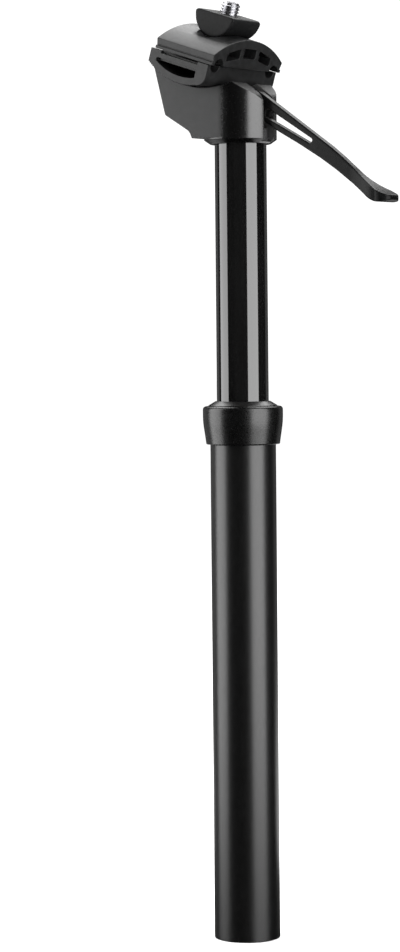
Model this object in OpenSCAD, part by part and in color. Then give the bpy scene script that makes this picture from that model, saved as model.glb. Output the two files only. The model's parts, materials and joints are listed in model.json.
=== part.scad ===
// Dropper seatpost with a lever under the saddle clamp.
// Millimetres. +X points to the front of the bicycle, +Z up along the post,
// the origin is on the post's axis at the lower end of the outer tube.
// It is drawn fully extended, with the lever at rest.

/* [Outer tube] */
// Outside diameter that fits the frame's seat tube
post_od = 31.6; // [30.9:0.1:33.9]
// Wall of the outer tube
post_wall = 2; // [1.9:0.1:2.2]
// Outer tube from its lower end to the collar
post_len = 237; // [225:1:260]

/* [Sliding tube] */
// Outside diameter of the sliding tube
stanchion_od = 25; // [24.8:0.1:25.4]
// Wall of the sliding tube
stanchion_wall = 1.6; // [1.5:0.05:1.7]
// Height that the saddle drops
travel = 120; // [100:5:125]
// Gap left between head and wiper when it is fully down
end_gap = 3.6; // [2:0.2:6]
// Number of guide keys round the tube
key_count = 3; // [2:1:4]

/* [Collar and wiper] */
// Largest diameter of the collar
collar_od = 38.6; // [38:0.2:42]
// Diameter of the collar's lower edge
collar_foot_od = 35.4; // [35:0.2:36.4]
// Height of the collar
collar_h = 18.3; // [17.5:0.1:22]
// Height of the wiper above the collar
wiper_h = 2.4; // [2:0.1:3.5]

/* [Head] */
// Diameter of the round column
column_od = 35; // [34:0.5:37]
// Opening angle of each flat side towards the rear
flare = 8; // [6:0.5:10]
// Width of the slot for the lever
slot_w = 8; // [7.6:0.1:9]

/* [Saddle clamp] */
// Diameter of a saddle rail
rail_d = 7; // [6.8:0.1:7.4]
// Distance between the two rails
rail_spacing = 44; // [43:0.5:45]
// Width of both clamp halves
clamp_w = 55; // [54.5:0.5:58]
// Length of each clamp half along the rails
clamp_len = 35.8; // [35:0.2:40]
// Forward lean of the clamp and its bolt
clamp_lean = 17.5; // [16:0.5:18]
// Height of the nut's axis above the rails
nut_rise = 23; // [22.6:0.1:23.4]
// Radius of the toothed seat about the nut's axis
seat_r = 36; // [35.6:0.1:36.4]
// Radius of the half-round nut
nut_r = 12; // [11.6:0.1:12.2]
// Length of the half-round nut
nut_len = 22.6; // [20:0.2:24]
// Clamp bolt thread, outside diameter
bolt_d = 8; // [7:0.5:8]
// Angle between two teeth of the seat
tooth_pitch = 2; // [1.8:0.1:2.4]

/* [Lever] */
// Thickness of the lever plate
lever_t = 4; // [3.6:0.1:4.4]
// Width of the finger pad
pad_w = 13.4; // [12:0.2:16]
// Diameter of the pivot screw
pivot_d = 4; // [3.6:0.2:4.4]
// Distance of the pivot in front of the post's axis
pivot_x = 9.5; // [9:0.1:10]

/* [Gas spring] */
// Outside diameter of the gas cylinder
cyl_od = 18.8; // [18:0.1:19]
// Wall of the gas cylinder
cyl_wall = 1.1; // [1:0.05:1.3]
// Diameter of the piston rod
rod_d = 10; // [9:0.5:10.5]
// Diameter of the valve pin
pin_d = 3; // [2.6:0.2:3.4]

/* [Hidden] */
$fn = 64;
// Gap between pieces that are fixed to each other
fit = 0.03;
// Radial gap of a running fit
run = 0.05;
// Gap between pieces that move past each other
free = 0.3;

post_r = post_od / 2;
bore_r = post_r - post_wall;
st_r = stanchion_od / 2;
st_ir = st_r - stanchion_wall;
cyl_r = cyl_od / 2;
cyl_ir = cyl_r - cyl_wall;
rod_r = rod_d / 2;
pin_r = pin_d / 2;
bolt_r = bolt_d / 2;
rail_r = rail_d / 2;
slot_y = slot_w / 2;
col_r = column_od / 2;

collar_z = post_len;
collar_top = collar_z + collar_h;
collar_grip = 12.5;
tube_top = collar_z + collar_grip;
wiper_top = collar_top + wiper_h;
lip_z = wiper_top + travel + end_gap;

st_in = 5.7;
st_len = 227;
st_top = lip_z + st_in;
st_bot = st_top - st_len;
web_t = 4;
web_z = st_top + web_t;
seat_len = 16.2;
key_r = 1.4;
key_at = (st_r + bore_r) / 2 - 0.05;
key_rise = 18;
key_z = st_bot + key_rise;
key_len = 15;
key_rim = key_at + key_r;

cap_z = 10;
cap_h = 10;
cyl_rise = 16;
cyl_drop = 3;
cyl_bot = st_bot + cyl_rise;
cyl_top = st_top - cyl_drop;
gland_z = cyl_bot + 1.5;
gland_h = 12.5;
piston_z = gland_z + gland_h + 2;
piston_h = 11;
stud_r = 3;
pin_rise = 16.6;
pin_top = lip_z + pin_rise;
valve_len = 25;
valve_low = st_top - valve_len;

head_h = 37.7;
head_low = 2.7;
head_back = 34.7;
heel_x = 29;
heel_z = 14.5;
lip_h = 2;
lip_in = 2.9;
slot_low = 0.7;
brow_x = 15.2;
brow_z = 23.2;
spigot = 24;
clear_all = 2 * clamp_w;

clamp_x = -6.3;
clamp_rise = 63.1;
clamp_z = lip_z + clamp_rise;
split_gap = 0.3;
split = -nut_rise;
seat_tip = seat_r + free;
tooth_h = 0.45;
arch_rise = 9;
side_wall = 5.2;
top_w = split + side_wall;
arch_r = (clamp_w * clamp_w / 4 + arch_rise * arch_rise) / (2 * arch_rise);
arch_c = top_w + arch_rise - arch_r;
window_end = 17.3;
window_mid = 4.9;
rib_w = 2.5;
groove_d = 0.9;
groove_low = 1.75;
upper_u = clamp_len / 2;
lower_shift = 2.2;
lower_f = clamp_len / 2 - lower_shift;
lower_b = -clamp_len / 2 - lower_shift;
swing = 8;
bolt_top = 5;
thread_low = 11.2;
bolt_seat = 47.6;
washer_t = 1.6;
bolt_head_r = 6;
bolt_head_h = 5;

pivot_rise = 19.7;
pivot_z = lip_z + pivot_rise;
pivot_blind = 10;
hub_r = 5.8;
flange_t = slot_y - lever_t / 2 - 0.1;
tail = pivot_x;
pad_end = 79;

function unit(v) = v / norm(v);

// Ring between two radii, from z0 up to z1
module ring(ri, ro, z0, z1) {
    translate([0, 0, z0])
    difference() {
        cylinder(r = ro, h = z1 - z0);
        translate([0, 0, -1])
        cylinder(r = ri, h = z1 - z0 + 2);
    }
}

// Round bar from z0 up to z1
module bar(r, z0, z1) {
    translate([0, 0, z0])
    cylinder(r = r, h = z1 - z0);
}

// Round section ring
module torus(rm, rs, z) {
    translate([0, 0, z])
    rotate_extrude()
    translate([rm, 0])
    circle(r = rs);
}

// Profile drawn in X and Z, extruded evenly to both sides along Y
module across(w) {
    translate([0, w / 2, 0])
    rotate([90, 0, 0])
    linear_extrude(height = w)
    children();
}

// Profile drawn in Y and Z, extruded along X from x0 to x1
module along(x0, x1) {
    translate([x0, 0, 0])
    rotate([90, 0, 90])
    linear_extrude(height = x1 - x0)
    children();
}

// Moves to the clamp: origin on the nut's axis, Z along the bolt
module at_clamp() {
    translate([clamp_x, 0, clamp_z])
    rotate([0, clamp_lean, 0])
    children();
}

// Moves to the lever's pivot
module at_pivot() {
    translate([pivot_x, 0, pivot_z])
    children();
}

// Outline with its outward corners rounded, points run counter-clockwise.
// Each arc is a hair larger than its corner needs, so that it crosses the two edges.
module rounded(pts, rs) {
    hair = 0.002;
    n = len(pts);
    a = [for (i = [0 : n - 1]) unit(pts[(i + n - 1) % n] - pts[i])];
    b = [for (i = [0 : n - 1]) unit(pts[(i + 1) % n] - pts[i])];
    h = [for (i = [0 : n - 1]) acos(a[i] * b[i]) / 2];
    t = [for (i = [0 : n - 1]) rs[i] / tan(h[i])];
    polygon([for (i = [0 : n - 1]) for (k = [0, 1]) pts[i] + (k == 0 ? a[i] : b[i]) * t[i]]);
    for (i = [0 : n - 1])
        if (rs[i] > 0) {
            inward = unit(a[i] + b[i]);
            apex = pts[i] + inward * (t[i] * cos(h[i]) + 0.5);
            reach = t[i] + 2 * sqrt(2 * rs[i] * hair);
            intersection() {
                translate(pts[i] + inward * rs[i] / sin(h[i]))
                circle(r = rs[i] + hair);
                polygon([apex, apex + 20 * (pts[i] + a[i] * reach - apex),
                    apex + 20 * (pts[i] + b[i] * reach - apex)]);
            }
        }
}

// Web that fills an inward corner at p with a hollow round of radius r
module hollow(p, to_a, to_b, r) {
    a = unit(to_a - p);
    b = unit(to_b - p);
    h = acos(a * b) / 2;
    inward = unit(a + b);
    t = r / tan(h);
    difference() {
        polygon([p - inward * 0.3, p + a * t - inward * 0.3, p + inward * t * cos(h),
            p + b * t - inward * 0.3]);
        translate(p + inward * r / sin(h))
        circle(r = r - 0.002);
    }
}

// Toothed disc about the clamp's axis, used by both halves of the seat
module toothed(tip) {
    root = tip - tooth_h;
    first = -90 - 28 * tooth_pitch;
    polygon(concat([[0, 0]], [for (i = [0 : 112])
        (i % 2 == 0 ? tip : root)
        * [cos(first + i * tooth_pitch / 2), sin(first + i * tooth_pitch / 2)]]));
}

// Slot with round ends, long in X
module oblong(half, r, z0, z1) {
    translate([0, 0, z0])
    linear_extrude(height = z1 - z0)
    union() {
        square([2 * half, 2 * r], center = true);
        translate([-half, 0])
        circle(r = r);
        translate([half, 0])
        circle(r = r);
    }
}

// Hexagon bar with a bore
module hexnut(af, r, z0, z1) {
    translate([0, 0, z0])
    difference() {
        intersection() {
            linear_extrude(height = z1 - z0)
            circle(d = af / cos(30), $fn = 6);
            rotate_extrude()
            polygon([[0, 0], [af * 0.53, 0], [af * 0.575, 0.45], [af * 0.6, 0.6],
                [af * 0.6, z1 - z0 - 0.6], [af * 0.53, z1 - z0], [0, z1 - z0]]);
        }
        translate([0, 0, -1])
        cylinder(r = r, h = z1 - z0 + 2);
    }
}

// Outer tube, with keyways, clip groove and a reduced end for the collar
module outer_tube() {
    color([0.06, 0.06, 0.065])
    difference() {
        rotate_extrude()
        polygon([[bore_r, 0.8], [bore_r + 0.6, 0], [post_r, 0], [post_r, collar_z],
            [post_r - 0.45, collar_z], [post_r - 0.45, tube_top], [bore_r, tube_top]]);
        ring(bore_r - 1, bore_r + 0.7, cap_z - 1.65, cap_z + 0.03);
        for (i = [0 : key_count - 1])
            rotate([0, 0, 60 + i * 360 / key_count])
            translate([key_at, 0, 30])
            cylinder(r = key_r + run, h = tube_top - 30 + 1);
    }
}

// Screwed collar that closes the outer tube
module seal_collar() {
    in_r = post_r - 0.45 + fit;
    out_r = collar_od / 2;
    seat = collar_top - 3.8;
    color([0.05, 0.05, 0.055])
    rotate_extrude()
    rounded([[in_r, collar_z], [collar_foot_od / 2, collar_z], [out_r, collar_z + collar_h * 0.6],
        [out_r, collar_top], [st_r + 3.2, collar_top], [st_r + 3.2, seat], [st_r + 0.7, seat],
        [st_r + 0.7, tube_top + 0.3], [in_r, tube_top + 0.3]], [0, 0.5, 40, 1.6, 0, 0, 0, 0, 0]);
}

// Rubber lip that wipes the sliding tube
module wiper_seal() {
    color([0.03, 0.03, 0.03])
    rotate_extrude()
    polygon([[st_r + 0.5, collar_top - 3.77], [st_r + 3.17, collar_top - 3.77],
        [st_r + 3.17, collar_top + fit], [st_r + 4.1, collar_top + fit],
        [st_r + 4.1, collar_top + 0.4], [st_r + 0.75, wiper_top], [st_r + run, wiper_top],
        [st_r + run, wiper_top - 1.1], [st_r + 0.5, wiper_top - 1.9]]);
}

// Felt ring that holds grease above the bushing
module grease_ring() {
    color([0.75, 0.7, 0.55])
    ring(st_r + run, bore_r - fit, tube_top - 3.4, tube_top - 0.1);
}

// Plain bearing at the top of the outer tube
module upper_bushing() {
    color([0.12, 0.12, 0.12])
    ring(st_r + run, bore_r - fit, tube_top - 28, tube_top - 3.5);
}

// Plug in the lower end of the outer tube
module bottom_cap() {
    color([0.5, 0.5, 0.52])
    difference() {
        bar(bore_r - fit, cap_z + fit, cap_z + cap_h);
        bar(4 + fit, 0, cap_z + cap_h + 1);
        ring(bore_r - 1.35, bore_r + 1, cap_z + 4, cap_z + 6.4);
    }
}

// Round rubber ring in the plug's groove
module cap_oring() {
    color([0.03, 0.03, 0.03])
    torus(bore_r - 0.69, 0.65, cap_z + 5.2);
}

// Spring ring that keeps the plug in
module cap_clip() {
    color([0.45, 0.45, 0.47])
    difference() {
        ring(bore_r - 1.7, bore_r + 0.65, cap_z - 1.6, cap_z);
        translate([-20, -3, cap_z - 5])
        cube([20, 6, 10]);
    }
}

// Nut on the lower end of the piston rod
module rod_nut() {
    color([0.7, 0.7, 0.72])
    hexnut(13, 4 + fit, cap_z - 8, cap_z - 1.55);
}

// Washer under the rod nut
module rod_washer() {
    color([0.75, 0.75, 0.77])
    ring(4.2, 8, cap_z - 1.5, cap_z);
}

// Rod of the gas spring, fixed to the plug
module piston_rod() {
    color([0.8, 0.8, 0.82])
    union() {
        bar(4, 1.2, cap_z + cap_h + fit);
        bar(rod_r, cap_z + cap_h + fit, piston_z);
        bar(stud_r, piston_z - 1, piston_z + piston_h + 6);
    }
}

// Piston on top of the rod
module piston() {
    color([0.6, 0.6, 0.62])
    difference() {
        bar(cyl_ir - run, piston_z + fit, piston_z + piston_h);
        bar(stud_r + fit, 0, piston_z + piston_h + 1);
        ring(cyl_ir - 1.6, cyl_ir + 1, piston_z + 4, piston_z + 7);
    }
}

// Sliding ring in the piston's groove
module piston_ring() {
    color([0.85, 0.85, 0.8])
    ring(cyl_ir - 1.55, cyl_ir - 0.02, piston_z + 4.05, piston_z + 6.95);
}

// Nut that holds the piston
module piston_nut() {
    color([0.7, 0.7, 0.72])
    hexnut(10, stud_r + fit, piston_z + piston_h + fit, piston_z + piston_h + 5);
}

// Soft ring that stops the tube at the bottom
module bumper() {
    color([0.04, 0.04, 0.04])
    rotate_extrude()
    polygon([[rod_r + 0.2, cap_z + cap_h + fit], [9.4, cap_z + cap_h + fit], [9.4, cap_z + cap_h + 3],
        [8.2, cap_z + cap_h + 5], [8.8, cap_z + cap_h + 8], [7.6, cap_z + cap_h + 12],
        [rod_r + 0.2, cap_z + cap_h + 12]]);
}

// Sliding tube
module stanchion() {
    color([0.05, 0.05, 0.055])
    difference() {
        rotate_extrude()
        polygon([[st_ir, st_bot + 0.5], [st_ir + 0.4, st_bot], [st_r - 0.45, st_bot],
            [st_r - 0.45, st_bot + seat_len], [st_r, st_bot + seat_len], [st_r, st_top - 0.5],
            [st_r - 0.5, st_top], [st_ir, st_top]]);
        ring(st_r - 0.8, st_r + 1, st_bot + 0.5, st_bot + 1.9);
        for (i = [0 : key_count - 1])
            rotate([0, 0, 60 + i * 360 / key_count])
            translate([key_at, 0, key_z - fit])
            cylinder(r = key_r + fit, h = key_len + 2 * fit);
    }
}

// Bearing on the lower end of the sliding tube
module lower_bushing() {
    color([0.12, 0.12, 0.12])
    ring(st_r - 0.45 + fit, bore_r - run, st_bot + 2, st_bot + seat_len - 0.1);
}

// Spring ring below the lower bearing
module bushing_clip() {
    color([0.45, 0.45, 0.47])
    difference() {
        ring(st_r - 0.77, st_r + 0.7, st_bot + 0.55, st_bot + 1.85);
        translate([-20, -2.5, st_bot - 2])
        cube([20, 5, 10]);
    }
}

// Keys that stop the saddle from turning
module guide_keys() {
    color([0.75, 0.58, 0.25])
    for (i = [0 : key_count - 1])
        rotate([0, 0, 60 + i * 360 / key_count])
        translate([key_at, 0, key_z])
        cylinder(r = key_r, h = key_len);
}

// Tube of the gas spring
module gas_cylinder() {
    color([0.65, 0.65, 0.67])
    difference() {
        ring(cyl_ir, cyl_r, cyl_bot, cyl_top);
        ring(cyl_ir - 1, cyl_ir + 0.4, cyl_bot + 0.1, cyl_bot + 1.4);
    }
}

// Guide for the rod at the cylinder's lower end
module rod_gland() {
    color([0.55, 0.55, 0.57])
    difference() {
        bar(cyl_ir - fit, gland_z, gland_z + gland_h);
        bar(rod_r + run, 0, gland_z + gland_h + 1);
        bar(rod_r + 1.6, gland_z + 4.5, gland_z + 8.5);
    }
}

// Rod seal inside the guide
module rod_seal() {
    color([0.03, 0.03, 0.03])
    ring(rod_r + run, rod_r + 1.57, gland_z + 4.55, gland_z + 8.45);
}

// Spring ring that keeps the guide in
module gland_clip() {
    color([0.45, 0.45, 0.47])
    difference() {
        ring(cyl_ir - 1.3, cyl_ir + 0.37, cyl_bot + 0.13, cyl_bot + 1.37);
        translate([-20, -2, cyl_bot - 2])
        cube([20, 4, 10]);
    }
}

// Valve body that closes the cylinder and screws into the head
module valve_body() {
    color([0.72, 0.6, 0.3])
    difference() {
        union() {
            bar(cyl_ir - fit, valve_low, cyl_top + 0.1);
            bar(cyl_r, cyl_top + fit, st_top - fit);
            bar(5.9, st_top - 1, web_z + 2);
        }
        bar(pin_r + run, 0, web_z + 3);
        ring(cyl_ir - 1.5, cyl_ir + 1, valve_low + 8, valve_low + 10.4);
    }
}

// Round rubber ring on the valve body
module valve_oring() {
    color([0.03, 0.03, 0.03])
    torus(cyl_ir - 0.77, 0.72, valve_low + 9.2);
}

// Pin that opens the valve when it is pushed down
module valve_pin() {
    color([0.85, 0.85, 0.87])
    union() {
        bar(pin_r, valve_low - 5, pin_top - 0.4);
        translate([0, 0, pin_top - 0.4])
        cylinder(r1 = pin_r, r2 = pin_r - 0.4, h = 0.4);
    }
}

// Poppet on the lower end of the pin
module valve_poppet() {
    color([0.3, 0.3, 0.32])
    difference() {
        union() {
            bar(3.6, valve_low - 3.1, valve_low - 0.1);
            bar(2.6, valve_low - 6, valve_low - 3);
        }
        bar(pin_r + fit, valve_low - 5 - fit, valve_low + 5);
    }
}

// Side view of the head's rear, in X and Z above the lip
module head_side() {
    neck = [1.6 - col_r, head_low + 3.4];
    foot = [3 - col_r, head_low];
    heel = [-heel_x, heel_z];
    union() {
        rounded([[2.5, head_low], [2.5, head_h], [-head_back, head_h], heel, neck, foot],
            [0, 0, 0, 1.8, 0, 0]);
        hollow(neck, heel, foot, 5);
    }
}

// Plan view of the head's flat-sided rear
module head_plan() {
    c = cos(flare);
    s = sin(flare);
    back = head_back + 8;
    polygon([[col_r * s, -col_r * c], [col_r * s, col_r * c], [-back, col_r / c + back * s / c],
        [-back, -col_r / c - back * s / c]]);
}

// Side view of what is cut away above the head's sloping front, in X and Z above the lip
module front_cut() {
    slope = tan(34.7);
    difference() {
        translate([0, head_h / 2 - 4])
        square([clear_all, clear_all]);
        rounded([[-col_r, 0], [col_r + 1, 0], [col_r + 1, brow_z - (col_r + 1 - brow_x) * tan(60)],
            [brow_x, brow_z], [-col_r, brow_z + (brow_x + col_r) * slope]], [0, 0, 0, 6, 0]);
    }
}

// Head that carries the saddle clamp, the lever and the sliding tube
module head() {
    color([0.07, 0.07, 0.075])
    difference() {
        union() {
            intersection() {
                translate([0, 0, lip_z])
                across(clear_all)
                head_side();
                translate([0, 0, lip_z])
                linear_extrude(height = 2 * head_h)
                head_plan();
            }
            bar(col_r, lip_z + lip_h, lip_z + head_h);
            translate([0, 0, lip_z])
            cylinder(r1 = col_r - lip_in, r2 = col_r, h = lip_h);
            bar(st_ir - fit, lip_z - spigot, lip_z + 10);
        }
        ring(st_ir, st_r + fit, lip_z - spigot - 6, st_top + fit);
        bar(cyl_r + 0.1, lip_z - spigot - 6, st_top);
        bar(5.9 + fit, lip_z, web_z + 1);
        bar(7, web_z, web_z + 6);
        translate([-5, -slot_y, web_z])
        cube([clear_all, slot_w, clear_all]);
        translate([8.5, -slot_y, st_top + 1.5])
        cube([clear_all, slot_w, clear_all]);
        translate([st_r + 0.4, -slot_y, lip_z + slot_low])
        cube([clear_all, slot_w, clear_all]);
        translate([0, 0, lip_z])
        across(clear_all)
        front_cut();
        at_clamp()
        across(clear_all)
        toothed(seat_tip + tooth_h);
        at_clamp()
        bar(bolt_r + 0.25, -clamp_z, 0);
        at_clamp()
        bar(bolt_head_r + 0.6, -clamp_z, -bolt_seat);
        at_pivot()
        rotate([-90, 0, 0])
        bar(pivot_d / 2 + fit, -pivot_blind - 0.2, clear_all);
        at_pivot()
        rotate([-90, 0, 0])
        bar(3.6, col_r - 8.6, clear_all);
    }
}

// Screw on which the lever turns
module pivot_screw() {
    color([0.35, 0.35, 0.37])
    at_pivot()
    rotate([-90, 0, 0])
    difference() {
        union() {
            bar(pivot_d / 2, -pivot_blind, col_r - 8);
            bar(3.5, col_r - 8.6 + fit, col_r - 6);
        }
        translate([0, 0, col_r - 7.8])
        linear_extrude(height = 5)
        circle(d = 2.5 / cos(30), $fn = 6);
    }
}

// Side view of the lever about its pivot, from the nose over the pin to the finger pad
module lever_side() {
    difference() {
        union() {
            circle(r = hub_r);
            translate([-tail, 0.05])
            circle(r = 3);
            polygon([[-tail, -1.6], [-2.2, -5], [0, 5], [-tail, 3.05]]);
            rounded([[3.36, 5], [-4.6, 8.6], [-6.6, 2.5], [0, 0]], [0, 1.5, 0, 0]);
            polygon([[3.36, 5], [-2.9, -4.2], [14.6, -14.9], [26.6, -21.4], [38.6, -28.4],
                [47.6, -34.3], [56.6, -40.9], [64.6, -47], [70, -44], [66, -36], [62, -37.44],
                [51, -28.2], [44.5, -23.2]]);
            belly();
        }
        translate([99.63, 9.07])
        circle(r = 60, $fn = 192);
        rounded([[7.5, -3], [6.4, -7.1], [32.9, -21.25], [34.2, -19.4]], [0.8, 0.8, 0.8, 0.8]);
        circle(r = pivot_d / 2 + 0.62);
    }
}

// Round underside of the finger pad, in the same view
module belly() {
    intersection() {
        translate([74.3, -34.28])
        circle(r = 16.002, $fn = 96);
        polygon([[60, -38], [63, -44], [63.6, -60], [pad_end - 1.6, -60], [pad_end - 1.1, -50.1],
            [pad_end, -49.1], [pad_end, -47.9], [pad_end - 1.4, -46.3], [pad_end - 3, -38]]);
    }
}

// Plan of the lever: a plain bar that widens in two hollow curves into the finger pad
module lever_plan() {
    t = lever_t / 2;
    w = pad_w / 2;
    start = 55;
    end = pad_end + 0.2;
    flank_r = 35;
    translate([-2 * tail, -t])
    square([2 * tail + start + 10, lever_t]);
    difference() {
        rounded([[start, -w], [end, -w], [end, w], [start, w]], [0, 5.2, 5.2, 0]);
        for (s = [-1, 1])
            translate([start, s * (t + flank_r)])
            circle(r = flank_r + 0.002, $fn = 192);
    }
}

// Lever that is lifted to let the post move
module lever() {
    color([0.09, 0.09, 0.095])
    at_pivot()
    intersection() {
        across(clear_all)
        lever_side();
        translate([0, 0, -clear_all])
        linear_extrude(height = 2 * clear_all)
        lever_plan();
    }
}

// Two flanged bushes in the lever's hub
module lever_bushes() {
    color([0.3, 0.3, 0.28])
    at_pivot()
    for (s = [-90, 90])
        rotate([s, 0, 0])
        difference() {
            union() {
                bar(pivot_d / 2 + 0.59, 0.1, lever_t / 2 + 0.1);
                bar(4.2, lever_t / 2 + fit, lever_t / 2 + flange_t);
            }
            bar(pivot_d / 2 + run, -1, 10);
        }
}

// Bolt that pulls the clamp down on its seat
module clamp_bolt() {
    r = bolt_r;
    p = 1.25;
    low = bolt_seat + washer_t;
    color([0.8, 0.8, 0.82])
    at_clamp()
    difference() {
        union() {
            bar(r - 0.1, -low - 1, -thread_low);
            rotate_extrude()
            polygon(concat([[0, -thread_low - 0.3], [r - 0.1, -thread_low - 0.3]],
                [for (i = [0 : 2 * 12]) [r - (i % 2 == 0 ? 0 : 0.6), -thread_low + i * p / 2]],
                [[r - 0.9, bolt_top], [0, bolt_top]]));
            bar(bolt_head_r, -low - bolt_head_h, -low - fit);
        }
        translate([0, 0, -low - bolt_head_h - 1])
        linear_extrude(height = 4)
        circle(d = 6 / cos(30), $fn = 6);
    }
}

// Washer under the bolt's head
module bolt_washer() {
    color([0.7, 0.7, 0.72])
    at_clamp()
    ring(bolt_r + 0.2, bolt_head_r + 0.4, -bolt_seat - washer_t, -bolt_seat - fit);
}

// Half-round nut across the top of the clamp
module barrel_nut() {
    color([0.08, 0.08, 0.085])
    at_clamp()
    difference() {
        across(nut_len)
        intersection() {
            circle(r = nut_r);
            rounded([[-nut_r - 0.2, 0], [-nut_r - 0.2, -nut_r - 1], [nut_r + 0.2, -nut_r - 1],
                [nut_r + 0.2, 0]], [2.4, 0.5, 0.5, 2.4]);
        }
        bar(bolt_r + fit, -clear_all, clear_all);
    }
}

// Side view of the lower clamp half about the nut's axis
module cradle_side() {
    front = lower_f;
    cr = 5;
    cu = front - cr;
    cw = -sqrt((seat_r - cr) * (seat_r - cr) - cu * cu);
    tu = cu * seat_r / (seat_r - cr);
    tw = cw * seat_r / (seat_r - cr);
    intersection() {
        union() {
            intersection() {
                toothed(seat_r);
                polygon([[lower_b, 0], [lower_b, -seat_r - 1], [tu, -seat_r - 1], [tu, tw], [front, cw],
                    [front, 0]]);
            }
            translate([cu, cw])
            circle(r = cr);
        }
        translate([-clamp_len, split - split_gap / 2 - 2 * seat_r])
        square([2 * clamp_len, 2 * seat_r]);
    }
}

// Opening in each side of the lower half
module cradle_window(top) {
    mid = (lower_f + lower_b) / 2;
    intersection() {
        circle(r = seat_r - 3.6);
        rounded([[mid - 13.5, top], [mid - 13.5, -seat_r], [mid + 11.4, -seat_r], [mid + 11.4, top]],
            [0.8, 0.8, 0.8, 0.8]);
        polygon([[mid - 13.6, top + 1], [mid - 13.6, -29.6], [mid - 5, -60], [mid + 8, -60],
            [mid + 11.5, -31.5], [mid + 11.5, top + 1]]);
    }
}

// Lower half of the saddle clamp
module lower_cradle() {
    mid = (lower_f + lower_b) / 2;
    out = clamp_w / 2;
    rim = rail_spacing / 2 + rail_r + 0.1;
    color([0.08, 0.08, 0.085])
    at_clamp()
    difference() {
        across(clamp_w)
        cradle_side();
        for (s = [-1, 1]) {
            translate([0, s * rail_spacing / 2, split])
            rotate([0, 90, 0])
            cylinder(r = rail_r, h = clear_all, center = true);
            translate([mid - 11.5, s * (out + rim) / 2 - (out - rim) / 2 - 0.2, split - 1.5])
            cube([23, out - rim + 0.4, 5]);
            translate([0, s * (out + rim) / 2, 0])
            across(out - rim + 0.2)
            cradle_window(split - 3.8);
            translate([0, s * (rim + 8) / 2, 0])
            across(rim - 8 + 0.2)
            cradle_window(split - rail_r - 1.6);
        }
        oblong(5.5, bolt_r + 0.35, -clear_all, 0);
    }
}

// Front view of the upper half, an arch over a flat base
module arch() {
    intersection() {
        translate([0, arch_c])
        circle(r = arch_r, $fn = 96);
        translate([-clamp_w / 2, split + split_gap / 2])
        square([clamp_w, clamp_w]);
    }
}

// Height of the arch's outline at y, a depth below its surface
function arch_z(depth, y) = arch_c + sqrt((arch_r - depth) * (arch_r - depth) - y * y);

// Three openings that follow the arch, between ribs
module arch_windows() {
    rim = 3.9;
    sill = rim + 4.8;
    low = split + 2.6;
    next = window_mid + rib_w;
    for (w = [[-window_end, -next], [-window_mid, window_mid], [next, window_end]])
        rounded([[w[0], max(arch_z(sill, w[0]), low)], [w[1], max(arch_z(sill, w[1]), low)],
            [w[1], arch_z(rim, w[1])], [w[0], arch_z(rim, w[0])]], [0.9, 0.9, 0.9, 0.9]);
}

// Undercut below the upper edge of each side
module side_grooves() {
    out = clamp_w / 2;
    for (s = [-1, 1])
        polygon([[s * (out + 1), top_w - 0.5], [s * out, top_w - 0.5],
            [s * (out - groove_d), split + groove_low], [s * (out + 1), split + groove_low]]);
}

// Upper half of the saddle clamp
module upper_clamp() {
    color([0.1, 0.1, 0.105])
    at_clamp()
    difference() {
        along(-upper_u, upper_u)
        arch();
        for (s = [-1, 1])
            translate([0, s * rail_spacing / 2, split])
            rotate([0, 90, 0])
            cylinder(r = rail_r, h = clear_all, center = true);
        rotate([90, 0, 0])
        cylinder(r = nut_r + free, h = clear_all, center = true);
        along(upper_u - 7, upper_u + 1)
        arch_windows();
        along(-upper_u - 1, -upper_u + 7)
        arch_windows();
        along(-clamp_len, clamp_len)
        side_grooves();
        oblong(3.6, bolt_r + 0.35, -clear_all, 0);
    }
}

outer_tube();
seal_collar();
wiper_seal();
grease_ring();
upper_bushing();
bottom_cap();
cap_oring();
cap_clip();
rod_nut();
rod_washer();
piston_rod();
piston();
piston_ring();
piston_nut();
bumper();
stanchion();
head();
lower_bushing();
bushing_clip();
guide_keys();
gas_cylinder();
rod_gland();
rod_seal();
gland_clip();
valve_body();
valve_oring();
valve_pin();
valve_poppet();
pivot_screw();
lever();
lever_bushes();
clamp_bolt();
bolt_washer();
barrel_nut();
lower_cradle();
upper_clamp();
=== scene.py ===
"""Looks of the dropper seatpost: finishes, fine edges, bolt thread, studio and camera."""
import json
import math

import bmesh
import bpy
from mathutils import Matrix, Quaternion, Vector


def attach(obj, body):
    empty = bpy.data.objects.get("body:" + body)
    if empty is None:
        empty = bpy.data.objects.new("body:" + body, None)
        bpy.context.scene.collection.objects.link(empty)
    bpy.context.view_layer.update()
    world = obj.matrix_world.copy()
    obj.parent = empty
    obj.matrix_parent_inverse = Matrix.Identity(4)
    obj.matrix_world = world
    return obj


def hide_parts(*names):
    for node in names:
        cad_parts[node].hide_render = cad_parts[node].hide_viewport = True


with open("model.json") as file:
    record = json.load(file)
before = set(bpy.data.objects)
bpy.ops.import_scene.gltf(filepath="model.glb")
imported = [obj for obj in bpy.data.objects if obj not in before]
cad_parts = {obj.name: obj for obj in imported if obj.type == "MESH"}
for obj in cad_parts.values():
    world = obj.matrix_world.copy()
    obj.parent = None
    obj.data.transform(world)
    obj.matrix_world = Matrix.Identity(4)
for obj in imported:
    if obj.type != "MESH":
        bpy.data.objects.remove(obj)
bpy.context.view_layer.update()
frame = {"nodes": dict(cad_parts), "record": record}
nodes = frame["nodes"]

MM = 0.001

# Camera, fitted to the photograph (400 x 952 pixels)
CAMERA_AZIMUTH = 36.5
CAMERA_DISTANCE = 1.4008
CAMERA_HEIGHT = 0.2922
CAMERA_YAW = 0.831
CAMERA_ROLL = 0.5155
CAMERA_LENS = 109.95
CAMERA_SHIFT_Y = -0.1536

# Saddle clamp, as in the solids: a point on the nut's axis and the bolt's lean
CLAMP_AT = Vector((-6.3, 0, 444.4)) * MM
CLAMP_LEAN = 17.5

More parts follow.
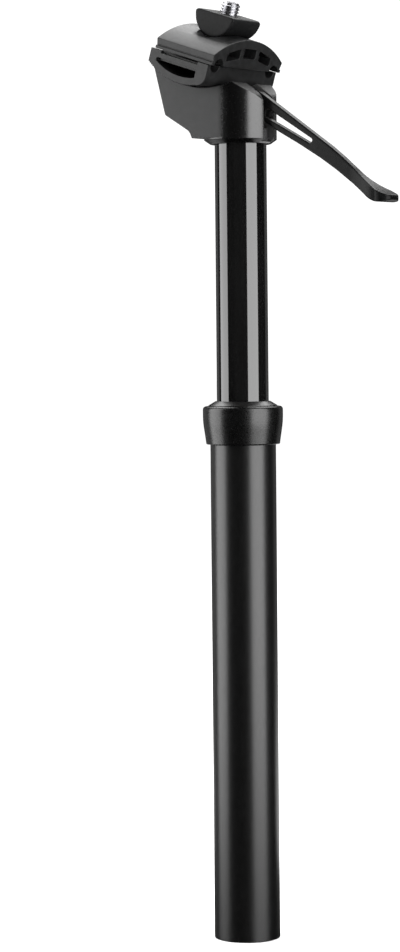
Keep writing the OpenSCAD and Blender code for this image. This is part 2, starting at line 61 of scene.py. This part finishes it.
# Clamp bolt, in millimetres: thread, shank and socket head, with heights along its axis from CLAMP_AT
THREAD_PITCH = 1.5
THREAD_CREST_R = 4.6
THREAD_ROOT_R = 3.86
THREAD_LOW = -10.6
THREAD_HIGH = 6.0
THREAD_END_R = 3.4
SHANK_R = 3.9
SHANK_TOP = -10.4
BOLT_HEAD_R = 6.0
BOLT_HEAD_TOP = -49.23
BOLT_HEAD_LOW = -54.2
SOCKET_FLATS = 6.0
SOCKET_DEPTH = 3.0

# Lever's slot in the head, in millimetres: half its width and its rear end, to just past its walls
SLOT_HALF = 4.03
SLOT_BACK = -5.1
# Base colour of the slot's walls, lighter than the rest of the head
SLOT_SHADE = 0.045

# Along X, in millimetres, the head's blasted rear passes into its turned column, and the rear's lighter
# base colour, a painted reflection, gives way to the column's dark one
COLUMN_FROM = -1.0
COLUMN_TO = 3.0

# How far wear and a painted highlight reach from an edge, in millimetres
WEAR_AND_HIGHLIGHT_WIDTH = 0.35

# Softboxes: name, angle from the camera's azimuth, elevation, distance, width, height, radiance,
# and the height on the post's axis that each faces
SOFTBOXES = (
    ("right_softbox", 49.5, 0, 1.2, 1.14, 1.67, 4.4, 0.665),
    ("left_softbox", -88.5, 0, 1.2, 0.99, 1.67, 3.7, 0.665),
    ("top_softbox", 180, 60, 1.6, 1.6, 1.6, 4.3, 0.3),
    ("left_rim", -140, 0, 2.0, 1.05, 1.9, 0.25, 0.56),
    ("right_rim", 140, 0, 2.0, 1.05, 1.9, 0.2, 0.56),
    ("front_fill", 0, 0, 2.0, 2.4, 2.4, 0.015, 0.6),
)

# Light that comes up from the floor behind the post
BOUNCE_BEHIND = 0.55
BOUNCE_RIGHT = 0.12
BOUNCE_WIDTH = 0.8
BOUNCE_RADIANCE = 1.0

WORLD_STRENGTH = 1.15


def around(azimuth):
    """Level direction from the post towards an azimuth, in the frame's own sense."""
    a = math.radians(azimuth)
    return Vector((math.sin(a), -math.cos(a), 0.0))


def make_camera():
    data = bpy.data.cameras.new("camera")
    camera = bpy.data.objects.new("camera", data)
    bpy.context.scene.collection.objects.link(camera)
    camera.location = around(CAMERA_AZIMUTH) * CAMERA_DISTANCE + Vector((0, 0, CAMERA_HEIGHT))
    back = around(CAMERA_AZIMUTH + CAMERA_YAW)
    roll = Quaternion((0, 0, 1), -math.radians(CAMERA_ROLL))
    camera.rotation_mode = "QUATERNION"
    camera.rotation_quaternion = (-back).to_track_quat("-Z", "Y") @ roll
    data.sensor_width = 36
    data.lens = CAMERA_LENS
    data.shift_y = CAMERA_SHIFT_Y
    data.clip_start = 0.05
    data.clip_end = 100
    bpy.context.scene.camera = camera


# Materials


class Shader:
    """A principled material and short ways to add nodes to it."""

    def __init__(self, name, roughness, metallic=0.0, specular=0.5):
        self.material = bpy.data.materials.new(name)
        self.material.use_nodes = True
        self.tree = self.material.node_tree
        self.bsdf = self.tree.nodes["Principled BSDF"]
        self.bsdf.inputs["Roughness"].default_value = roughness
        self.bsdf.inputs["Metallic"].default_value = metallic
        self.bsdf.inputs["Specular IOR Level"].default_value = specular
        self.place = self.add("ShaderNodeTexCoord").outputs["Object"]

    def add(self, kind, **values):
        node = self.tree.nodes.new(kind)
        for key, value in values.items():
            setattr(node, key, value)
        return node

    def join(self, output, socket):
        self.tree.links.new(output, socket)

    def spread(self, factor, start, end, low, high):
        """The factor's range from start to end, mapped smoothly to low and high."""
        node = self.add("ShaderNodeMapRange", interpolation_type="SMOOTHSTEP")
        sockets = ("From Min", "From Max", "To Min", "To Max")
        for socket, value in zip(sockets, (start, end, low, high)):
            node.inputs[socket].default_value = value
        self.join(factor, node.inputs["Value"])
        return node.outputs["Result"]

    def sums(self, operation, a, b):
        node = self.add("ShaderNodeMath", operation=operation)
        self.join(a, node.inputs[0])
        self.join(b, node.inputs[1])
        return node.outputs["Value"]

    def noise(self, size_mm, detail=3.0, stretch=(1, 1, 1)):
        """Noise whose grains are about size_mm across, drawn out by stretch."""
        mapping = self.add("ShaderNodeMapping")
        mapping.inputs["Scale"].default_value = tuple(1 / s for s in stretch)
        self.join(self.place, mapping.inputs["Vector"])
        noise = self.add("ShaderNodeTexNoise")
        noise.inputs["Scale"].default_value = 1 / (size_mm * MM)
        noise.inputs["Detail"].default_value = detail
        self.join(mapping.outputs["Vector"], noise.inputs["Vector"])
        return noise.outputs["Fac"]

    def rings(self, pitch_mm, distortion=2.0):
        """Turning marks: fine rings along the post's axis."""
        wave = self.add("ShaderNodeTexWave", wave_type="BANDS", bands_direction="Z")
        wave.inputs["Scale"].default_value = 1 / (pitch_mm * MM * 3.1)
        wave.inputs["Distortion"].default_value = distortion
        wave.inputs["Detail"].default_value = 2.0
        wave.inputs["Detail Scale"].default_value = 3.0
        self.join(self.place, wave.inputs["Vector"])
        return wave.outputs["Fac"]

    def cells(self, size_mm):
        voronoi = self.add("ShaderNodeTexVoronoi")
        voronoi.inputs["Scale"].default_value = 1 / (size_mm * MM)
        self.join(self.place, voronoi.inputs["Vector"])
        return voronoi.outputs["Distance"]

    def along(self, axis, start_mm, end_mm, low, high, mirrored=False):
        """Changes from low to high along an axis of the frame, or to both sides of it."""
        split = self.add("ShaderNodeSeparateXYZ")
        self.join(self.place, split.inputs["Vector"])
        place = split.outputs[axis]
        if mirrored:
            size = self.add("ShaderNodeMath", operation="ABSOLUTE")
            self.join(place, size.inputs[0])
            place = size.outputs["Value"]
        return self.spread(place, start_mm * MM, end_mm * MM, low, high)

    def facing_up(self, start, end, low, high):
        """Changes from low to high as the surface turns upwards, by the height of its normal."""
        split = self.add("ShaderNodeSeparateXYZ")
        self.join(self.add("ShaderNodeNewGeometry").outputs["Normal"], split.inputs["Vector"])
        return self.spread(split.outputs["Z"], start, end, low, high)

    def edges(self, width_mm):
        """High along edges, where the rounded normal departs from the plain one, broken up by noise."""
        soft = self.add("ShaderNodeBevel", samples=4)
        soft.inputs["Radius"].default_value = width_mm * MM
        dot = self.add("ShaderNodeVectorMath", operation="DOT_PRODUCT")
        self.join(soft.outputs["Normal"], dot.inputs[0])
        self.join(self.add("ShaderNodeNewGeometry").outputs["Normal"], dot.inputs[1])
        edge = self.spread(dot.outputs["Value"], 0.98, 0.88, 0.0, 1.0)
        return self.sums("MULTIPLY", edge, self.spread(self.noise(1.6, 5.0), 0.4, 0.7, 0.1, 1.0))

    def colour(self, factor, dark, light):
        """Base colour between two shades, along a factor."""
        ramp = self.add("ShaderNodeValToRGB")
        ramp.color_ramp.elements[0].position = 0.32
        ramp.color_ramp.elements[1].position = 0.68
        ramp.color_ramp.elements[0].color = (*dark, 1)
        ramp.color_ramp.elements[1].color = (*light, 1)
        self.join(factor, ramp.inputs["Fac"])
        self.join(ramp.outputs["Color"], self.bsdf.inputs["Base Color"])

    def tint(self, factor, shade):
        """Mixes a shade into the base colour where the factor is high."""
        mix = self.add("ShaderNodeMix", data_type="RGBA")
        self.join(factor, mix.inputs[0])
        self.join(self.bsdf.inputs["Base Color"].links[0].from_socket, mix.inputs[6])
        mix.inputs[7].default_value = (*shade, 1)
        self.join(mix.outputs[2], self.bsdf.inputs["Base Color"])

    def rough(self, factor, low, high):
        self.join(self.spread(factor, 0.3, 0.7, low, high), self.bsdf.inputs["Roughness"])

    def bump(self, factor, depth_mm, strength=1.0):
        bump = self.add("ShaderNodeBump")
        bump.inputs["Strength"].default_value = strength
        bump.inputs["Distance"].default_value = depth_mm * MM
        self.join(factor, bump.inputs["Height"])
        self.join(bump.outputs["Normal"], self.bsdf.inputs["Normal"])


def grey(value, warm=0.0):
    return (value * (1 + warm), value, value * (1 - warm))


def blasted(name, shade, roughness, specular, grain_mm=0.2, depth_mm=0.004, wear_and_highlight=None):
    """Fine blasted and black anodised aluminium, paler along its edges as wear and a painted highlight.
    """
    s = Shader(name, roughness, specular=specular)
    s.colour(s.noise(3.0), grey(shade * 0.7, -0.02), grey(shade * 1.3, -0.02))
    # Paler edges: wear, together with a painted highlight
    if wear_and_highlight:
        s.tint(s.edges(WEAR_AND_HIGHLIGHT_WIDTH), grey(wear_and_highlight))
    s.rough(s.noise(1.1, 4.0), roughness - 0.03, roughness + 0.03)
    s.bump(s.noise(grain_mm, 2.0), depth_mm)
    return s.material


def forged(name, shade, turned_shade, roughness, turned_roughness, specular):
    """Black anodised forging: blasted flats at the rear with a lighter base colour as a painted
    reflection, turned column in front, lighter walls in the slot.
    """
    s = Shader(name, roughness, specular=specular)
    s.colour(s.noise(3.0), grey(shade * 0.85, -0.02), grey(shade * 1.15, -0.02))
    # The rear flats keep a lighter base colour than the turned column: a painted reflection
    s.tint(s.along("X", COLUMN_FROM, COLUMN_TO, 0.0, 1.0), grey(turned_shade))
    # The walls of the lever's slot get a lighter base colour
    between = s.along("Y", SLOT_HALF - 0.01, SLOT_HALF + 0.01, 1.0, 0.0, mirrored=True)
    ahead = s.along("X", SLOT_BACK - 0.1, SLOT_BACK, 0.0, 1.0)
    s.tint(s.sums("MULTIPLY", between, ahead), grey(SLOT_SHADE))
    # Paler edges on the head: wear, together with a painted highlight
    s.tint(s.edges(WEAR_AND_HIGHLIGHT_WIDTH), grey(0.03))
    grain = s.spread(s.noise(1.1, 4.0), 0.3, 0.7, 0.9, 1.1)
    finish = s.along("X", COLUMN_FROM, COLUMN_TO, roughness, turned_roughness)
    finish = s.sums("ADD", finish, s.facing_up(0.3, 0.6, 0.0, 0.3))
    s.join(s.sums("MULTIPLY", grain, finish), s.bsdf.inputs["Roughness"])
    s.bump(s.noise(0.2, 2.0), 0.003)
    return s.material


def polished(name, shade, roughness, specular):
    """Hard anodised sliding surface with faint marks along its length."""
    s = Shader(name, roughness, specular=specular)
    s.colour(s.noise(6.0, 4.0, (1, 1, 8)), grey(shade * 0.8), grey(shade * 1.2))
    s.rough(s.noise(0.5, 4.0, (1, 1, 40)), roughness * 0.85, roughness * 1.2)
    s.bump(s.noise(0.4, 3.0, (1, 1, 60)), 0.0004)
    return s.material


def turned(name, dark, light, roughness, pitch_mm, depth_mm=0.004):
    """Bright metal with turning marks."""
    s = Shader(name, roughness, metallic=1.0)
    s.colour(s.noise(2.5, 4.0), dark, light)
    s.rough(s.noise(0.8, 4.0), roughness * 0.8, roughness * 1.25)
    s.bump(s.rings(pitch_mm), depth_mm, 0.6)
    return s.material


def rubber(name, shade, roughness):
    """Moulded rubber, glossy where the tube has wiped it with oil."""
    s = Shader(name, roughness, specular=0.5)
    s.colour(s.noise(1.5, 5.0), grey(shade * 0.75, 0.02), grey(shade * 1.25, 0.02))
    s.rough(s.noise(0.6, 3.0), roughness - 0.06, roughness + 0.06)
    s.bump(s.noise(0.3, 2.0), 0.003)
    return s.material


def plastic(name, shade, flecks, warm=0.0):
    """Filled bearing plastic with small flecks."""
    s = Shader(name, 0.45)
    s.colour(s.cells(0.5), grey(shade, warm), grey(flecks, warm))
    s.rough(s.noise(1.0), 0.38, 0.52)
    s.bump(s.noise(0.2), 0.006)
    return s.material


def felt(name):
    s = Shader(name, 0.95, specular=0.1)
    s.colour(s.noise(0.5, 8.0, (4, 4, 1)), (0.34, 0.29, 0.19), (0.62, 0.56, 0.42))
    s.rough(s.noise(0.5), 0.9, 1.0)
    s.bump(s.noise(0.15, 8.0, (5, 5, 1)), 0.12)
    return s.material


def oxide(name, shade, roughness, specular):
    """Black oxide on steel."""
    s = Shader(name, roughness, specular=specular)
    s.colour(s.noise(1.4, 6.0), grey(shade * 0.7, -0.03), grey(shade * 1.3, -0.03))
    # Paler edges on the nut: wear, together with a painted highlight
    s.tint(s.edges(WEAR_AND_HIGHLIGHT_WIDTH), grey(0.06))
    s.rough(s.noise(0.7, 4.0), roughness - 0.06, roughness + 0.06)
    s.bump(s.noise(0.18, 3.0), 0.006)
    return s.material


MATERIALS = {
    "tube_black": blasted("satin_tube", 0.0015, 0.31, 0.72, 0.15, 0.0015),
    "collar_black": blasted("satin_collar", 0.001, 0.28, 0.66, 0.3, 0.0003),
    "stanchion_black": polished("polished_tube", 0.003, 0.06, 1.0),
    # The head's lighter rear shade is a painted reflection; the column's shade is its own dark colour
    "head_black": forged("blasted_head", 0.013, 0.001, 0.37, 0.25, 0.84),
    # Paler edges on the clamp and lever: wear, together with a painted highlight
    "clamp_black": blasted("blasted_clamp", 0.008, 0.38, 0.31, wear_and_highlight=0.03),
    "lever_black": blasted("blasted_lever", 0.003, 0.3, 0.1, 0.3, 0.002, wear_and_highlight=0.02),
    "nut_black": oxide("black_oxide", 0.005, 0.5, 0.16),
    "bolt_steel": turned("bright_zinc", (0.42, 0.42, 0.44), (0.56, 0.56, 0.58), 0.3, 0.6),
    "spring_steel": turned("oiled_steel", (0.14, 0.14, 0.15), (0.24, 0.24, 0.25), 0.35, 0.4),
    "rubber_black": rubber("oiled_rubber", 0.006, 0.32),
    "bearing_plastic": plastic("bearing_plastic", 0.018, 0.04),
    "ring_plastic": plastic("sealing_plastic", 0.62, 0.72, 0.03),
    "key_brass": turned("drawn_brass", (0.52, 0.36, 0.12), (0.66, 0.48, 0.19), 0.25, 1.2),
    "felt": felt("greased_felt"),
    "spring_tube": turned("drawn_steel", (0.34, 0.35, 0.37), (0.48, 0.49, 0.51), 0.28, 1.0),
    "rod_chrome": turned("hard_chrome", (0.66, 0.67, 0.69), (0.74, 0.75, 0.77), 0.07, 1.5, 0.0005),
    "plug_alloy": turned("turned_alloy", (0.5, 0.5, 0.52), (0.66, 0.66, 0.68), 0.3, 0.35),
    "valve_brass": turned("turned_brass", (0.5, 0.35, 0.13), (0.64, 0.47, 0.2), 0.28, 0.4),
}


def dress_nodes():
    """Gives every CAD node the finish of its slot in the record."""
    slots = {part["node"]: part["material_slot"] for part in frame["record"]["subparts"]}
    for name, obj in nodes.items():
        obj.data.materials.clear()
        obj.data.materials.append(MATERIALS[slots[name]])
    # The photograph's sliding tube doesn't mirror the lever
    nodes["lever"].visible_glossy = False


# Shapes


def soften(name, width_mm, segments=2, angle=30.0):
    """Breaks the sharp edges of a CAD node by a small round."""
    obj = nodes[name]
    weld = obj.modifiers.new("weld", "WELD")
    weld.merge_threshold = 0.002 * MM
    plain = obj.modifiers.new("plain", "DECIMATE")
    plain.decimate_type = "DISSOLVE"
    plain.angle_limit = math.radians(0.4)
    edge = obj.modifiers.new("edge", "BEVEL")
    edge.width = width_mm * MM
    edge.segments = segments
    edge.limit_method = "ANGLE"
    edge.angle_limit = math.radians(angle)
    edge.use_clamp_overlap = False
    edge.harden_normals = True
    even = obj.modifiers.new("even", "WEIGHTED_NORMAL")
    even.weight = 50
    even.keep_sharp = True


def round_off(name, grain_mm, passes):
    """Rounds a CAD node like a casting that was tumbled: a fine even mesh, smoothed."""
    obj = nodes[name]
    even = obj.modifiers.new("even", "REMESH")
    even.mode = "VOXEL"
    even.voxel_size = grain_mm * MM
    even.use_smooth_shade = True
    soft = obj.modifiers.new("soft", "SMOOTH")
    soft.factor = 0.5
    soft.iterations = passes


def soften_edges():
    for name, width_mm in (("head", 0.12), ("upper_clamp", 0.3), ("lower_cradle", 0.12),
                           ("outer_tube", 0.25)):
        soften(name, width_mm)
    round_off("lever", 0.3, 8)
    round_off("barrel_nut", 0.3, 30)


def screw_thread(form, pitch, profile, low, high, end_r, columns=48):
    """Helical thread: rows follow the helix and are cut off level at both ends.

    The profile is a list of (share of the pitch, radius). Towards the high end the thread
    is turned down at 45 degrees to end_r.
    """
    rows = len(profile)
    looped = profile + [(1.0, profile[0][1])]
    made = {}

    def radius(share):
        for (f0, r0), (f1, r1) in zip(looped, looped[1:]):
            if share <= f1:
                return r0 + (r1 - r0) * (share - f0) / (f1 - f0)

    def vert(i, j):
        if j == columns:
            i, j = i + rows, 0
        if (i, j) not in made:
            turn, k = divmod(i, rows)
            z = min(max(low + pitch * (turn + profile[k][0] + j / columns), low), high)
            r = min(radius(((z - low) / pitch - j / columns) % 1.0), end_r + high - z)
            a = 2 * math.pi * j / columns
            made[i, j] = form.verts.new((r * math.cos(a), r * math.sin(a), z))
        return made[i, j]

    turns = math.ceil((high - low) / pitch) + 1
    for i in range(-rows, turns * rows):
        for j in range(columns):
            form.faces.new((vert(i, j), vert(i, j + 1), vert(i + 1, j + 1), vert(i + 1, j)))
    bmesh.ops.remove_doubles(form, verts=list(made.values()), dist=1e-4)
    rim = [e for e in form.edges if e.is_boundary]
    bmesh.ops.edgeloop_fill(form, edges=rim)


def lathe(form, rings, columns=60):
    """Turned body from rings of (radius, z), where a radius may be a function of the angle."""
    angles = [2 * math.pi * j / columns for j in range(columns)]
    loops = []
    for r, z in rings:
        reach = [r(a) if callable(r) else r for a in angles]
        loops.append([form.verts.new((q * math.cos(a), q * math.sin(a), z))
                      for q, a in zip(reach, angles)])
    for a, b in zip(loops, loops[1:]):
        for j in range(columns):
            k = (j + 1) % columns
            form.faces.new((a[j], a[k], b[k], b[j]))
    form.faces.new(loops[0][::-1])
    form.faces.new(loops[-1])


def hexagon(flats):
    """Radius of a hexagon at an angle, from its width across flats."""
    step = math.pi / 3
    return lambda a: flats / 2 / math.cos((a + step / 2) % step - step / 2)


def make_bolt():
    """Clamp bolt with a helical thread and a socket head, in place of the ringed solid."""
    form = bmesh.new()
    crest, root = THREAD_CREST_R, THREAD_ROOT_R
    profile = [(0.0, crest - 0.03), (0.08, crest), (0.16, crest - 0.03), (0.44, root + 0.06),
               (0.52, root), (0.62, root), (0.7, root + 0.06)]
    screw_thread(form, THREAD_PITCH, profile, THREAD_LOW, THREAD_HIGH, THREAD_END_R)
    socket = hexagon(SOCKET_FLATS)
    low, top, r = BOLT_HEAD_LOW, BOLT_HEAD_TOP, BOLT_HEAD_R
    lathe(form, [(socket, low + SOCKET_DEPTH), (socket, low + 0.3), (3.75, low), (r - 0.4, low),
                 (r - 0.1, low + 0.15), (r, low + 0.45), (r, top - 0.27), (r - 0.2, top),
                 (SHANK_R, top), (SHANK_R, SHANK_TOP)])
    bmesh.ops.recalc_face_normals(form, faces=form.faces)
    place = Matrix.Translation(CLAMP_AT) @ Matrix.Rotation(math.radians(CLAMP_LEAN), 4, "Y")
    bmesh.ops.transform(form, matrix=place @ Matrix.Scale(MM, 4), verts=form.verts)
    mesh = bpy.data.meshes.new("clamp_bolt_threaded")
    form.to_mesh(mesh)
    form.free()
    mesh.shade_smooth()
    mesh.set_sharp_from_angle(angle=math.radians(38))
    mesh.materials.append(MATERIALS["bolt_steel"])
    bolt = bpy.data.objects.new("clamp_bolt_threaded", mesh)
    bpy.context.scene.collection.objects.link(bolt)
    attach(bolt, "upper")
    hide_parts("clamp_bolt")


# Studio


def add_light(name, shape, place, towards, width, height, radiance):
    """Flat light with an even radiance, unseen by the camera but seen in gloss."""
    data = bpy.data.lights.new(name, "AREA")
    data.shape = shape
    data.size = width
    data.size_y = height
    data.energy = radiance * math.pi * width * height * (math.pi / 4 if shape == "ELLIPSE" else 1)
    lamp = bpy.data.objects.new(name, data)
    bpy.context.scene.collection.objects.link(lamp)
    lamp.location = place
    lamp.rotation_mode = "QUATERNION"
    lamp.rotation_quaternion = (-towards).to_track_quat("Z", "Y")
    lamp.visible_camera = False


def softbox(name, azimuth, elevation, distance, width, height, radiance, level):
    """Light that faces a point on the post's axis at a level, from an angle to the camera's own."""
    e = math.radians(elevation)
    away = around(CAMERA_AZIMUTH + azimuth) * math.cos(e) + Vector((0, 0, math.sin(e)))
    add_light(name, "RECTANGLE", Vector((0, 0, level)) + away * distance, -away, width, height, radiance)


def make_studio():
    mesh = bpy.data.meshes.new("floor")
    form = bmesh.new()
    bmesh.ops.create_grid(form, x_segments=8, y_segments=8, size=12.0)
    form.to_mesh(mesh)
    form.free()
    floor = bpy.data.objects.new("floor", mesh)
    bpy.context.scene.collection.objects.link(floor)
    floor.location.z = -0.0002
    pale = Shader("pale_floor", 0.9, specular=0.0)
    pale.colour(pale.noise(400.0), grey(0.9), grey(0.93))
    mesh.materials.append(pale.material)
    floor.visible_glossy = False
    floor.visible_shadow = False

    world = bpy.data.worlds.new("studio")
    bpy.context.scene.world = world
    world.use_nodes = True
    background = world.node_tree.nodes["Background"]
    background.inputs["Color"].default_value = (1, 1, 1, 1)
    background.inputs["Strength"].default_value = WORLD_STRENGTH
    world.cycles_visibility.glossy = False

    for values in SOFTBOXES:
        softbox(*values)
    place = around(CAMERA_AZIMUTH + 180) * BOUNCE_BEHIND + around(CAMERA_AZIMUTH + 90) * BOUNCE_RIGHT
    add_light("floor_bounce", "ELLIPSE", place + Vector((0, 0, 2 * MM)), Vector((0, 0, 1)),
              BOUNCE_WIDTH, BOUNCE_WIDTH, BOUNCE_RADIANCE)
    bpy.context.scene.view_settings.view_transform = "Standard"


make_camera()
dress_nodes()
soften_edges()
make_bolt()
make_studio()
